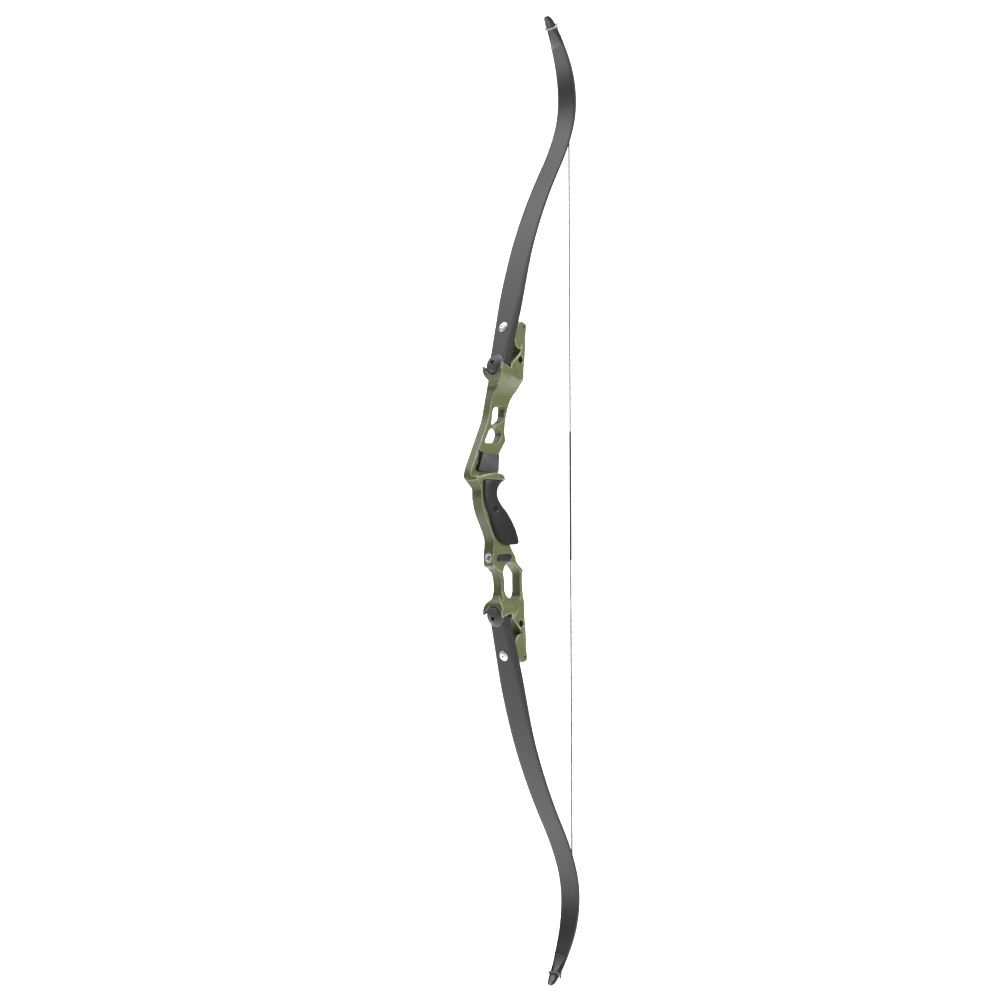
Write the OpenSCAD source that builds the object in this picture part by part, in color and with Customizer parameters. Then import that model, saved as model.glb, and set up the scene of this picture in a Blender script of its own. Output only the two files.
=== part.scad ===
// Strung take-down recurve bow, right-handed, sight window on +x.
// Millimetres. Working frame: x across, y towards the archer, z up,
// z = 0 halfway between the two limb bolts. bow_frame() moves the whole
// bow so that the mouth of the stabilizer bushing is the origin.

/* [Riser] */
// Full width of the handle core and the body below it
handle_width = 19; // [17.5:0.5:21]
// Full width of the two columns beside the lower opening
column_width = 16; // [14:0.5:17]
// Full width of the limb pockets
pocket_width = 29; // [28:0.5:31]
// Distance of the sight window face from the bow plane
window_inset = 4; // [3:0.25:5.5]
// Distance of the riser's far face from the bow plane
window_far = 18; // [17:0.5:20]
// How far the arrow shelf reaches past the bow plane
shelf_reach = 16; // [13:0.5:19]
// Radius of the ramp at the top of the sight window
ramp_radius = 48.6; // [46:0.2:51]
// Outer radius of the pocket cup round the bolt head
cup_radius = 19.4; // [18.6:0.1:20.2]
// Radius of the round opening in each pocket tongue
tongue_hole_radius = 5.5; // [4:0.25:6.5]

/* [Grip] */
// Half width of the grip at the throat
grip_half_throat = 14; // [13:0.25:15]
// Half width of the grip at the palm
grip_half_palm = 15.5; // [14.5:0.25:17]
// Radius of the grip screw's head
grip_screw_head = 3.8; // [3:0.1:4.3]

/* [Limbs] */
// Tilt of the limb butt and of the bolt axis
butt_tilt = 17.6; // [17.2:0.1:18]
// Thickness of the limb at the butt
butt_thickness = 16.3; // [15.5:0.1:16.3]
// Thickness of the limb between fade-out and recurve
blade_thickness = 4.7; // [4:0.1:5.4]
// Widest face of the limb
blade_width = 39; // [36:0.5:42]
// Thickness of the tip overlay
overlay_thickness = 2.2; // [1.5:0.1:2.8]
// Distance along the limb from the bolt to the limb screw
screw_spacing = 60; // [59:0.25:61]

/* [Bolts and inserts] */
// Radius of the domed bolt head
bolt_head_radius = 15.2; // [14:0.1:15.3]
// Height of the dome over its rim
bolt_dome = 6.4; // [5:0.1:7]
// Thickness of the bolt head's rim
bolt_rim = 1.2; // [1:0.1:2]
// Radius of the bolt's threaded shank
bolt_shank_radius = 3.95; // [3.8:0.05:3.97]
// Radius of the limb screw's head
limb_screw_radius = 7.3; // [6.5:0.1:7.8]
// Radius of the threads in both accessory bushings
bushing_thread_radius = 3.97; // [3.9:0.01:4.05]
// Radius of the stabilizer bushing
stabilizer_radius = 6.8; // [6:0.1:7.2]

/* [String] */
// Radius of the string's strands
string_radius = 1.3; // [1:0.05:1.5]
// Radius of the servings
serving_radius = 1.75; // [1.65:0.05:2]
// Length of the centre serving on each half
center_serving_length = 100; // [60:5:140]

/* [Hidden] */
$fn = 48;
corner_steps = 5;
// Running clearance of screws and pins in their bores
clearance = 0.05;
// Clearance of the bolt head and the limb fork in the pocket cup
cup_play = 1.9;
// Where the cup's wall ends beside the bolt axis, and how deep its open top is
near_horn = -1;
far_horn = -4.5;
horn_floor = -14;
// Overshoot of every cutter past the face it opens
over = 1;
bushing_mouth = [0, -3, -101];
handle_half = handle_width / 2;
column_half = column_width / 2;
pocket_half = pocket_width / 2;
// Point of the bolt axis on the limb's front face
bolt_seat = [0, 14.8, 187.1];
cup_bore = bolt_head_radius + cup_play;
cup_floor = -butt_thickness;
boss_depth = butt_thickness + 7.7;
boss_foot = 23;
// How far the cup's lower lobe lies below the bolt axis, in front and behind
lobe_front = 10;
lobe_rear = 4;
fork_radius = 14.6;
fork_slot = bolt_shank_radius + 0.65;
washer_thickness = 1.2;
washer_radius = 11;
insert_radius = 6.6;
insert_length = 14;
shank_length = butt_thickness + 14;
lock_radius = 4;
lock_start = -shank_length - 4;
dowel_radius = 6;
dowel_length = 8.5;
slot_play = 0.2;
screw_shank_radius = 3;
screw_thickness = 13;
// Gap that keeps the fixed washers off the moving limb face
face_gap = 0.03;
set_screw_radius = 1.75;
plate_thickness = 1.5;
recess_depth = 1;
slot_depth = 6;
strip_height = 5.2;
olive = [0.45, 0.49, 0.29];
black = [0.13, 0.13, 0.14];
grey = [0.35, 0.35, 0.37];
steel = [0.78, 0.78, 0.8];
brass = [0.72, 0.6, 0.3];

// Curves and outlines

function unit(v) = v / norm(v);
function flat(p) = [p[0], p[1]];
// Corner b between a and c, eased over the distance r on both sides
function corner(a, b, c, r) = let(
    d = min(r, 0.49 * norm(a - b), 0.49 * norm(c - b)),
    p = b + unit(a - b) * d,
    q = b + unit(c - b) * d)
  [for (k = [0 : corner_steps]) let(t = k / corner_steps)
    (1 - t) * (1 - t) * p + 2 * t * (1 - t) * b + t * t * q];
// Outline from corners given as [y, z, easing]
function eased(pts) = let(n = len(pts))
  [for (i = [0 : n - 1])
    each corner(flat(pts[(i + n - 1) % n]), flat(pts[i]), flat(pts[(i + 1) % n]), pts[i][2])];

// Extrudes a (y, z) outline along x
module across(x0, x1) {
  translate([x0, 0, 0]) rotate([90, 0, 90]) linear_extrude(height = x1 - x0) children();
}
// Extrudes an (x, z) outline along y
module along_y(y0, y1) {
  translate([0, y1, 0]) rotate([90, 0, 0]) linear_extrude(height = y1 - y0) children();
}
// Cylinder on an axis along x
module rod_x(y, z, r, x0, x1) {
  translate([x0, y, z]) rotate([0, 90, 0]) cylinder(r = r, h = x1 - x0);
}
// Local frame of a bolt: z out of the limb face, y along the limb
module at_bolt() {
  translate(bolt_seat) rotate([90 - butt_tilt, 0, 0]) children();
}
module at_limb_screw() {
  at_bolt() translate([0, screw_spacing, 0]) children();
}
module lower_end() {
  mirror([0, 0, 1]) children();
}
module bow_frame() {
  translate(-bushing_mouth) children();
}

// Solid through a stack of rings
module skin(rings) {
  n = len(rings[0]);
  k = len(rings);
  side = [for (j = [0 : k - 2]) for (i = [0 : n - 1]) let(
      a = j * n + i, b = a + n, c = (j + 1) * n + (i + 1) % n, d = j * n + (i + 1) % n)
    each [[a, b, c], [a, c, d]]];
  polyhedron(points = [for (r = rings) each r],
    faces = concat([[for (i = [0 : n - 1]) i]],
      [[for (i = [n - 1 : -1 : 0]) (k - 1) * n + i]], side));
}
// Round cord of radius r through the points p
module cord(p, r, sides = 10) {
  n = len(p);
  t = [for (i = [0 : n - 1]) unit(p[min(i + 1, n - 1)] - p[max(i - 1, 0)])];
  first = unit([1, 0.3, 0.2] - t[0] * ([1, 0.3, 0.2] * t[0]));
  u = [for (i = 0, v = first; i < n; i = i + 1,
      v = i < n ? unit(v - t[i] * (v * t[i])) : v) v];
  skin([for (i = [0 : n - 1])
    [for (k = [0 : sides - 1]) let(a = 360 * k / sides)
      p[i] + r * (cos(a) * u[i] + sin(a) * cross(t[i], u[i]))]]);
}

// Riser

// Handle core and lower body, seen from +x
handle_outline = [[-36, 15, 1], [-32.5, 9, 3], [-29, 0, 6], [-29.3, -13, 8],
  [-23.5, -35, 12], [-9, -58, 10], [-0.8, -75, 6], [-2.2, -90, 4], [-3, -94, 1],
  [-3, -108.5, 1], [-1.6, -113.6, 2], [7, -115.8, 4], [15, -126, 8], [17.6, -140, 8],
  [17.6, -166, 1], [68, -168, 1], [69.8, -157, 4], [67.4, -146, 8], [66.8, -130, 6],
  [67.5, -117.3, 2.5],
  [51.5, -105.5, 4], [49.5, -98, 3], [36.1, -80.5, 6], [28, -68, 6], [16, -40, 10],
  [5, -18, 8], [2.5, -6, 5], [5, 8, 4], [8, 15, 1]];
lower_opening = [[42.7, -105.7, 6], [60, -118.5, 5], [61, -157, 6], [53.1, -164.3, 5],
  [30.1, -158.5, 5], [26.2, -152, 4], [26.3, -134, 8], [21.2, -117.5, 5], [27.4, -109, 4]];
// Window section and the body above it
window_outline = [[-38.5, 18.5, 2], [-36, 28, 8], [3.5, 105.5, 10], [8.3, 127, 12],
  [17.5, 160, 4], [17.5, 172, 1], [65.4, 176, 1], [66, 154, 6], [51.4, 132.6, 12],
  [43.5, 109, 12], [40.3, 88, 8], [43.5, 75, 1.5], [27, 53, 3], [25.8, 18, 1]];
upper_oval = [[15, 123, 6], [41.5, 126.5, 6], [38.8, 106, 6], [27, 99.5, 8], [9.5, 94, 6]];
lower_oval = [[-5.5, 69, 4], [27.5, 71, 6], [34.5, 86, 6], [25, 94.5, 6], [7, 91, 8]];
shelf_outline = [[-41, 14.5, 1.5], [-24.8, 20.5, 8], [-7.4, 24.1, 10], [10, 23.9, 8],
  [18.8, 21.2, 3], [25.5, 17.3, 1], [20.5, 14.6, 2], [3, 14.2, 5], [-19.6, 14, 5],
  [-39, 11.5, 1]];
// Pocket block and the tongue behind the limb
tongue_outline = [[17.5, 150, 1], [17.5, 168, 1], [31.5, 182, 1], [32.8, 188.6, 1.5],
  [43, 195.5, 8], [53.8, 205, 8], [60.8, 216, 8], [66, 228.4, 8], [69.4, 240.8, 3],
  [70.6, 248, 0.5], [76.6, 248, 1], [76, 238, 6], [73.6, 213, 8], [70.4, 198, 6], [67.4, 188, 6],
  [65.6, 178, 5], [65.2, 168, 4], [66.2, 158, 3], [63, 150, 1]];
crescent_outline = [[57.8, 211, 2], [49, 215, 4], [44.3, 222, 4], [43.75, 232, 4], [48.5, 245, 4],
  [54.5, 253, 2], [62, 255.5, 2], [72.4, 251.5, 1], [72, 243, 3], [64.5, 225, 8]];
tongue_hole = [57.2, 197];
set_screw_spot = [66, 246.6];
sight_holes = [[5, 62], [5, 95.3]];
sight_hole_radius = 1.9;
grip_screw_shank = 2;
sight_hole_depth = 11;
cushion_spot = [6, 42];
grip_screw_spot = [-1.8, -28.3];
flare_radius = 35.4;
flare_start = 145;
ramp_start = 130;
// Height where the far face of the window section starts to run in
far_taper = 150;
crescent_half = 13;
// Side of the cup and the boss: front of the neck, rim, open top and the tongue's front line
shell_top = [[13, 160, 4], [8.8, 166, 4], [7.4, 170.5, 4], [5.4, 190, 1], [5, 197, 1], [32.4, 197, 1],
  [27.8, 181.9, 0.5], [32.8, 188.6, 1], [43, 195.5, 8], [53.8, 205, 8], [60, 212, 1], [69, 205, 1],
  [66, 160, 1]];
shell_upper = concat([[24, 140, 1], [12, 140, 1], [15.2, 152, 6]], shell_top);
shell_lower = concat([[24, 150, 1], [17.6, 150, 1], [17.4, 157, 4]], shell_top);
// The neck under each cup from the front
neck_depth = 18;
neck_upper = [[-window_far, 138, 1], [-window_far, 150, 3], [-16.3, 157, 3], [-12, 163, 2],
  [-8, 172, 1], [8, 172, 1], [7, 159, 2], [1, 155, 3], [-window_inset, 148, 4],
  [-window_inset, 138, 1]];
neck_lower = [[-column_half, 150, 1], [column_half, 150, 1], [column_half, 172, 1],
  [-column_half, 172, 1]];
// Rear of a pocket from above: its sides run together from chamfer_start back
chamfer_start = 61;
chamfer_slope = 0.4;
chamfer_foot = 146;
// Front of the handle under the window, and how far down the shoulder runs
shoulder_front = -38.5;
shoulder_back = -27.6;
shoulder_top = 18.5;
plate_outline = [[-10.4, 55, 1.5], [0.5, 52.8, 4], [26.6, 53.4, 1], [25.2, 28.2, 1],
  [-1, 25.4, 6], [-20.6, 26.6, 3]];
slot_outline = [[-26.6, 27, 1.5], [-13, 24.4, 1], [-10, 54.8, 1], [-19.8, 58.4, 1]];
strip_outline = [[-23, 36, 0.5], [-21.4, 36, 0.5], [-17.2, 56.2, 0.5], [-18.8, 56.4, 0.5]];
// Outline of the shelf from above, as [x, y, easing]
shelf_plan = [[-window_far, shoulder_back, 1], [-handle_half, shoulder_front, 3],
  [handle_half, shoulder_front, 2], [shelf_reach - 3.5, -25, 6],
  [shelf_reach - 0.5, -6, 8], [shelf_reach, 8, 6], [shelf_reach - 2, 20, 6],
  [shelf_reach - 8, 26, 4], [-window_far, 26, 1]];
plaque_outline = [[5.5, -95.2, 1.5], [37, -93.6, 2], [41.4, -98.4, 1], [35.6, -105.4, 2],
  [6.2, -106.4, 1.5]];

module lower_body() {
  difference() {
    across(-handle_half, handle_half) polygon(eased(handle_outline));
    for (s = [0, 1]) mirror([s, 0, 0])
      translate([column_half, 0, -200]) cube([handle_half, 90, 80]);
  }
}
// Round cutters that widen the body towards a pocket
module ramp() {
  translate([ramp_radius - window_inset, -60, ramp_start])
    rotate([-90, 0, 0]) cylinder(r = ramp_radius, h = 160, $fn = 96);
}
module flares(sides) {
  for (s = sides) translate([s * (column_half + flare_radius), -60, flare_start])
    rotate([-90, 0, 0]) cylinder(r = flare_radius, h = 160, $fn = 96);
}
module window_section() {
  difference() {
    across(-window_far, pocket_half) polygon(eased(window_outline));
    along_y(-60, 100) polygon([[-window_far, far_taper], [-pocket_half, far_taper + 14],
      [-pocket_half, 200], [-window_far - over, 200], [-window_far - over, far_taper]]);
    rear_chamfers();
    translate([-window_inset, -60, 0]) cube([60, 160, 130]);
    ramp();
    across(-window_far - over, 0) polygon(eased(upper_oval));
    across(-window_far - over, 0) polygon(eased(lower_oval));
  }
}
// Slanted transition from the window's front to the narrower handle
module shoulder() {
  depth = shoulder_back - shoulder_front;
  hull() {
    translate([-window_far, shoulder_front, shoulder_top - 2])
      cube([window_far + handle_half, depth, 2]);
    translate([-handle_half, handle_outline[2][0] - 0.3, 0])
      cube([handle_width, shoulder_back - handle_outline[2][0] + 0.3, 1]);
  }
}
module shelf() {
  intersection() {
    across(-window_far, shelf_reach) polygon(eased(shelf_outline));
    linear_extrude(height = 40) polygon(eased(shelf_plan));
  }
}
// Cup round the bolt head with the neck below it, the boss behind and the boss's tapered foot
module cup(side, neck) {
  intersection() {
    union() {
      hull() at_bolt() {
        translate([0, 0, 14]) cylinder(r = cup_radius - 0.3, h = over);
        translate([0, -lobe_front, 8]) cylinder(r = cup_radius, h = over);
        translate([0, -lobe_rear, -boss_depth]) cylinder(r = cup_radius, h = over);
      }
      at_bolt() translate([0, -lobe_rear, -boss_depth - boss_foot])
        cylinder(r1 = pocket_half - 1, r2 = cup_radius - 0.4, h = boss_foot + over);
      along_y(0, neck_depth) polygon(eased(neck));
    }
    across(-30, 30) polygon(eased(side));
  }
}
// Block and tongue behind the limb; children() narrow their foot
module pocket_body() {
  difference() {
    across(-pocket_half, pocket_half) polygon(eased(tongue_outline));
    children();
    rear_chamfers();
  }
  across(-crescent_half, crescent_half) polygon(eased(crescent_outline));
}
// Wedges beside the rear of a pocket; their feet slant out
module rear_chamfers() {
  reach = 30;
  turn = atan(chamfer_slope);
  for (s = [0, 1]) mirror([s, 0, 0]) translate([pocket_half, chamfer_start, chamfer_foot])
    rotate([0, 0, turn]) along_y(-reach, 2 * reach)
      polygon([[0, reach / 2], [reach, -reach / 2], [reach, 4 * reach], [0, 4 * reach]]);
}
// Everything that is cut out of one pocket
module pocket_cuts() {
  at_bolt() {
    translate([0, 0, cup_floor]) cylinder(r = cup_bore, h = 60, $fn = 72);
    translate([-30, far_horn, horn_floor]) cube([30, 30, 60]);
    translate([0, near_horn, horn_floor]) cube([30, 30, 60]);
    translate([0, 0, cup_floor - insert_length])
      cylinder(r = insert_radius, h = insert_length + over);
    translate([0, 0, -60]) cylinder(r = lock_radius + clearance, h = 50);
  }
  at_limb_screw() translate([0, 0, -screw_thickness - dowel_length - 1.5]) {
    cylinder(r = dowel_radius + slot_play, h = 12);
    translate([-dowel_radius - slot_play, 0, 0])
      cube([2 * (dowel_radius + slot_play), 30, 12]);
  }
  rod_x(tongue_hole[0], tongue_hole[1], tongue_hole_radius, -30, 30);
  for (s = [0, 1]) mirror([s, 0, 0])
    rod_x(set_screw_spot[0], set_screw_spot[1], set_screw_radius + clearance, 7, 30);
}

module riser() color(olive) bow_frame() difference() {
  union() {
    lower_body();
    window_section();
    shoulder();
    shelf();
    cup(shell_upper, neck_upper);
    pocket_body() ramp();
    lower_end() {
      cup(shell_lower, neck_lower);
      pocket_body() flares([-1, 1]);
    }
  }
  pocket_cuts();
  lower_end() pocket_cuts();
  across(-pocket_half - over, pocket_half + over) polygon(eased(lower_opening));
  // Accessory bushings, sight holes and the grip screw
  translate([0, bushing_mouth[1] - over, bushing_mouth[2]])
    rotate([-90, 0, 0]) cylinder(r = stabilizer_radius, h = 20 + over);
  rod_x(cushion_spot[0], cushion_spot[1], stabilizer_radius, -window_far - over, -window_inset + over);
  for (h = sight_holes)
    rod_x(h[0], h[1], sight_hole_radius, -window_far - over, -window_far + sight_hole_depth);
  rod_x(grip_screw_spot[0], grip_screw_spot[1], grip_screw_shank + clearance, -6, handle_half + over);
  // Recess of the plaque and slot of the strip
  across(handle_half - recess_depth, handle_half + over) polygon(eased(plaque_outline));
  across(-window_inset - slot_depth, -window_inset + over) polygon(eased(slot_outline));
}

// Grip: rear and front lines and half width over z
grip_low = -81;
grip_high = 17;
grip_rings = 28;
// Distance of the grip screw's seat from the bow plane
screw_seat = 11.5;
grip_rear = [[grip_low, 60], [-73, 60.5], [-57, 53.5], [-43, 43], [-31, 31.5], [-23, 20.2],
  [-13.4, 11.7], [-5.5, 9.5], [3.7, 12], [11, 20], [14, 27], [grip_high, 33]];
grip_front = [[grip_low, 6], [-75, 2.7], [-58, -7.7], [-35.6, -16.5], [-24.7, -23.2],
  [-13, -26.8], [-2.5, -27.4], [8.7, -26.5], [grip_high, -26]];
grip_half = [[grip_low, grip_half_palm], [-50, grip_half_palm], [-25, grip_half_throat + 0.6],
  [-5, grip_half_throat], [8, grip_half_throat + 0.8], [grip_high, grip_half_throat + 1]];
function signed(v, e) = sign(v) * pow(abs(v), e);
function grip_ring(z) = let(
    f = lookup(z, grip_front), r = lookup(z, grip_rear), w = lookup(z, grip_half),
    m = r - max(w, 0.38 * (r - f)))
  [for (a = [0 : 15 : 345]) let(c = cos(a), s = sin(a))
    [w * signed(c, s < 0 ? 0.45 : 0.85),
      m + (s < 0 ? (m - f) * signed(s, 0.55) : (r - m) * signed(s, 0.95)), z]];
grip_mask = [[-40, 12, 1], [-22, 14, 2], [40, 17.5, 1], [70, 17.5, 1], [70, -60, 1],
  [62, -76.5, 4], [44, -80.5, 8], [23, -81, 5], [10, -76.5, 6], [-3, -65, 8], [-12, -49, 1],
  [-40, -40, 1]];

module grip() color(black) bow_frame() difference() {
  intersection() {
    skin([for (k = [0 : grip_rings]) grip_ring(grip_low + (grip_high - grip_low) * k / grip_rings)]);
    across(-20, 20) polygon(eased(grip_mask));
  }
  lower_body();
  shoulder();
  shelf();
  window_section();
  rod_x(grip_screw_spot[0], grip_screw_spot[1], grip_screw_head + 0.7, screw_seat, 2 * screw_seat);
  rod_x(grip_screw_spot[0], grip_screw_spot[1], grip_screw_shank + clearance, 0, 2 * screw_seat);
}
module grip_screw() color(steel) bow_frame() difference() {
  union() {
    rod_x(grip_screw_spot[0], grip_screw_spot[1], grip_screw_head, screw_seat, screw_seat + 2.1);
    rod_x(grip_screw_spot[0], grip_screw_spot[1], grip_screw_shank, -5, screw_seat + 0.5);
  }
  translate([screw_seat + 1.1, grip_screw_spot[0], grip_screw_spot[1]])
    rotate([0, 90, 0]) cylinder(r = 1.6, h = 3, $fn = 6);
}
module side_plate() color(grey) bow_frame() {
  across(-window_inset, -window_inset + plate_thickness) polygon(eased(plate_outline));
}
module plate_strip() color(steel) bow_frame() {
  across(-window_inset - slot_depth, -window_inset - slot_depth + strip_height)
    polygon(eased(strip_outline));
}
module badge_plaque() color(black) bow_frame() {
  across(handle_half - recess_depth, handle_half - 0.2) polygon(eased(plaque_outline));
}
module stabilizer_bushing() color(steel) bow_frame() difference() {
  translate(bushing_mouth) rotate([-90, 0, 0]) cylinder(r = stabilizer_radius, h = 20);
  translate(bushing_mouth - [0, over, 0])
    rotate([-90, 0, 0]) cylinder(r = bushing_thread_radius, h = 16 + over);
}
module cushion_bushing() color(steel) bow_frame() difference() {
  rod_x(cushion_spot[0], cushion_spot[1], stabilizer_radius, -window_far, -window_inset);
  rod_x(cushion_spot[0], cushion_spot[1], bushing_thread_radius, -window_far - over,
    -window_inset + over);
}

// Limb: front face as stretches of [length, turn] from the fork's end
fork_reach = 15;
limb_stretches = [[fork_reach + 100, 0], [60, 1.74], [100, 7.53], [80, 5.7], [30, -3.15],
  [45, -8.35], [60, -24.92], [50, -18.24], [74, -19.5]];
limb_start = [bolt_seat[1] - fork_reach * sin(butt_tilt),
  bolt_seat[2] - fork_reach * cos(butt_tilt), butt_tilt, -fork_reach];
limb_moves = [for (s = limb_stretches) let(n = max(ceil(s[0] / 20), ceil(abs(s[1]) / 2.6)))
  for (k = [1 : n]) s / n];
function moved(p, m) = let(a = p[2] + m[1] / 2)
  [p[0] + m[0] * sin(a), p[1] + m[0] * cos(a), p[2] + m[1], p[3] + m[0]];
// Stations [y, z, heading, distance from the bolt]
limb_path = [for (i = 0, p = limb_start; i <= len(limb_moves); i = i + 1,
  p = i <= len(limb_moves) ? moved(p, limb_moves[i - 1]) : p) p];
limb_end = limb_path[len(limb_path) - 1];
limb_thick = [[0, butt_thickness], [24, 15.4], [55, 13.7], [87, 11.8], [118, 9.3],
  [150, 7.3], [182, 5.5], [205, blade_thickness + 0.1], [420, blade_thickness],
  [470, blade_thickness + 0.5], [510, 5.2], [545, 4.7], [570, 5.4], [600, 6.6]];
// Face width over z
limb_wide = [[150, 26.2], [195, 26.2], [285, blade_width - 0.9], [315, blade_width],
  [375, blade_width], [480, 35.6], [600, 34.1], [645, 32.1], [675, 28.6], [705, 23],
  [728, 17], [735, 13.6], [739, 8], [741, 3]];
overlay_depth = [[535, 0], [548, overlay_thickness - 0.4], [570, overlay_thickness]];
// Point at depth d behind the front face at a station
function behind(p, d) = [p[0] + d * cos(p[2]), p[1] - d * sin(p[2])];
function overlay_at(p) = lookup(p[3], overlay_depth);

module between(first, last) {
  polygon(concat(first, [for (i = [len(last) - 1 : -1 : 0]) last[i]]));
}
module face_taper() {
  along_y(-40, 260) polygon(concat([for (w = limb_wide) [w[1] / 2, w[0]]],
    [for (i = [len(limb_wide) - 1 : -1 : 0]) [-limb_wide[i][1] / 2, limb_wide[i][0]]]));
}
nock_station = limb_path[len(limb_path) - 3];
module nocks() {
  for (s = [-1, 1]) translate([s * 9.1, 0, 0])
    translate([0, nock_station[0], nock_station[1]]) rotate([90 - nock_station[2], 0, 0])
    translate([0, 0, -20]) cylinder(r = serving_radius + 0.35, h = 40);
}
module limb() {
  difference() {
    intersection() {
      across(-21, 21) between([for (p = limb_path) behind(p, overlay_at(p))],
        [for (p = limb_path) behind(p, lookup(p[3], limb_thick))]);
      face_taper();
    }
    nocks();
    at_bolt() {
      difference() {
        translate([-20, -40, -30]) cube([40, 40, 40]);
        translate([0, 0, -31]) cylinder(r = fork_radius, h = 42);
      }
      translate([0, 0, -30]) cylinder(r = fork_slot, h = 40);
      translate([-fork_slot, -30, -30]) cube([2 * fork_slot, 30, 40]);
    }
    at_limb_screw() {
      translate([0, 0, -20]) cylinder(r = screw_shank_radius + clearance, h = 30);
      // Flat seat of the dowel
      translate([0, 0, -20]) cylinder(r = dowel_radius + slot_play, h = 20 - screw_thickness);
    }
  }
}
module tip_overlay() {
  tip = [for (p = limb_path) if (overlay_at(p) > 0) p];
  difference() {
    intersection() {
      across(-21, 21) between([for (p = tip) flat(p)],
        [for (p = tip) behind(p, overlay_at(p))]);
      face_taper();
    }
    nocks();
  }
}
module limb_upper() color(grey) bow_frame() limb();
module limb_lower() color(grey) bow_frame() lower_end() limb();
module tip_overlay_upper() color(black) bow_frame() tip_overlay();
module tip_overlay_lower() color(black) bow_frame() lower_end() tip_overlay();

// Limb fittings

// Dome of base radius r and height h standing on z = 0
module dome(r, h) {
  ball = (r * r + h * h) / (2 * h);
  intersection() {
    translate([0, 0, h - ball]) sphere(r = ball, $fn = 96);
    cylinder(r = r, h = h + over);
  }
}
module dowel() at_limb_screw() difference() {
  translate([0, 0, -screw_thickness - dowel_length]) cylinder(r = dowel_radius, h = dowel_length);
  translate([0, 0, -screw_thickness - dowel_length + 2])
    cylinder(r = screw_shank_radius + clearance, h = dowel_length);
}
module limb_screw() at_limb_screw() difference() {
  union() {
    translate([0, 0, 0.6]) cylinder(r = limb_screw_radius, h = 0.5);
    translate([0, 0, 1.1]) dome(limb_screw_radius, 1.9);
    translate([0, 0, -screw_thickness - dowel_length + 2.5])
      cylinder(r = screw_shank_radius, h = screw_thickness + dowel_length - 1);
  }
  translate([0, 0, 1.4]) cylinder(r = 2.1, h = 4, $fn = 6);
}
module screw_washer() at_limb_screw() difference() {
  translate([0, 0, face_gap]) cylinder(r = limb_screw_radius + 0.6, h = 0.6 - face_gap);
  translate([0, 0, -over]) cylinder(r = screw_shank_radius + 0.3, h = 3);
}
module limb_bolt() at_bolt() difference() {
  union() {
    translate([0, 0, washer_thickness]) cylinder(r = bolt_head_radius, h = bolt_rim);
    translate([0, 0, washer_thickness + bolt_rim]) dome(bolt_head_radius, bolt_dome);
    translate([0, 0, -shank_length])
      cylinder(r = bolt_shank_radius, h = shank_length + washer_thickness + 0.5);
  }
  translate([0, 0, washer_thickness + bolt_rim + 1])
    cylinder(r = 2.8, h = bolt_dome, $fn = 6);
}
module thrust_washer() at_bolt() difference() {
  translate([0, 0, face_gap]) cylinder(r = washer_radius, h = washer_thickness - face_gap);
  translate([0, 0, -over]) cylinder(r = bolt_shank_radius + 0.3, h = 4);
}
module bolt_insert() at_bolt() difference() {
  translate([0, 0, cup_floor - insert_length]) cylinder(r = insert_radius, h = insert_length);
  translate([0, 0, cup_floor - insert_length - over])
    cylinder(r = bolt_shank_radius + clearance, h = insert_length + 2 * over);
}
module lock_screw() at_bolt() difference() {
  translate([0, 0, lock_start - 7]) cylinder(r = lock_radius, h = 7);
  translate([0, 0, lock_start - 8]) cylinder(r = 2.3, h = 4, $fn = 6);
}
module align_screws() for (s = [0, 1]) mirror([s, 0, 0]) difference() {
  rod_x(set_screw_spot[0], set_screw_spot[1], set_screw_radius, 7, crescent_half - 0.4);
  rod_x(set_screw_spot[0], set_screw_spot[1], 0.9, crescent_half - 2, crescent_half);
}
module dowel_upper() color(steel) bow_frame() dowel();
module dowel_lower() color(steel) bow_frame() lower_end() dowel();
module limb_screw_upper() color(steel) bow_frame() limb_screw();
module limb_screw_lower() color(steel) bow_frame() lower_end() limb_screw();
module screw_washer_upper() color(steel) bow_frame() screw_washer();
module screw_washer_lower() color(steel) bow_frame() lower_end() screw_washer();
module limb_bolt_upper() color(grey) bow_frame() limb_bolt();
module limb_bolt_lower() color(grey) bow_frame() lower_end() limb_bolt();
module thrust_washer_upper() color(steel) bow_frame() thrust_washer();
module thrust_washer_lower() color(steel) bow_frame() lower_end() thrust_washer();
module bolt_insert_upper() color(brass) bow_frame() bolt_insert();
module bolt_insert_lower() color(brass) bow_frame() lower_end() bolt_insert();
module lock_screw_upper() color(steel) bow_frame() lock_screw();
module lock_screw_lower() color(steel) bow_frame() lower_end() lock_screw();
module align_screws_upper() color(steel) bow_frame() align_screws();
module align_screws_lower() color(steel) bow_frame() lower_end() align_screws();

// String: straight from the nock plane to where it meets the recurve

function string_point(p) = let(q = behind(p, lookup(p[3], limb_thick) + serving_radius + 0.05))
  [0, q[0], q[1]];
// Stations of the recurve that carry the string
carried = [for (i = [0 : len(limb_path) - 6]) if (limb_path[i][2] < 0) limb_path[i]];
string_y = string_point(carried[0])[1];
lift_z = string_point(carried[0])[2] - 2 * serving_radius;
split = carried[len(carried) - 1];
nock_depth = lookup(nock_station[3], limb_thick);
function nock_at(x, d) = let(q = behind(nock_station, d)) [x, q[0], q[1]];

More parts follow.
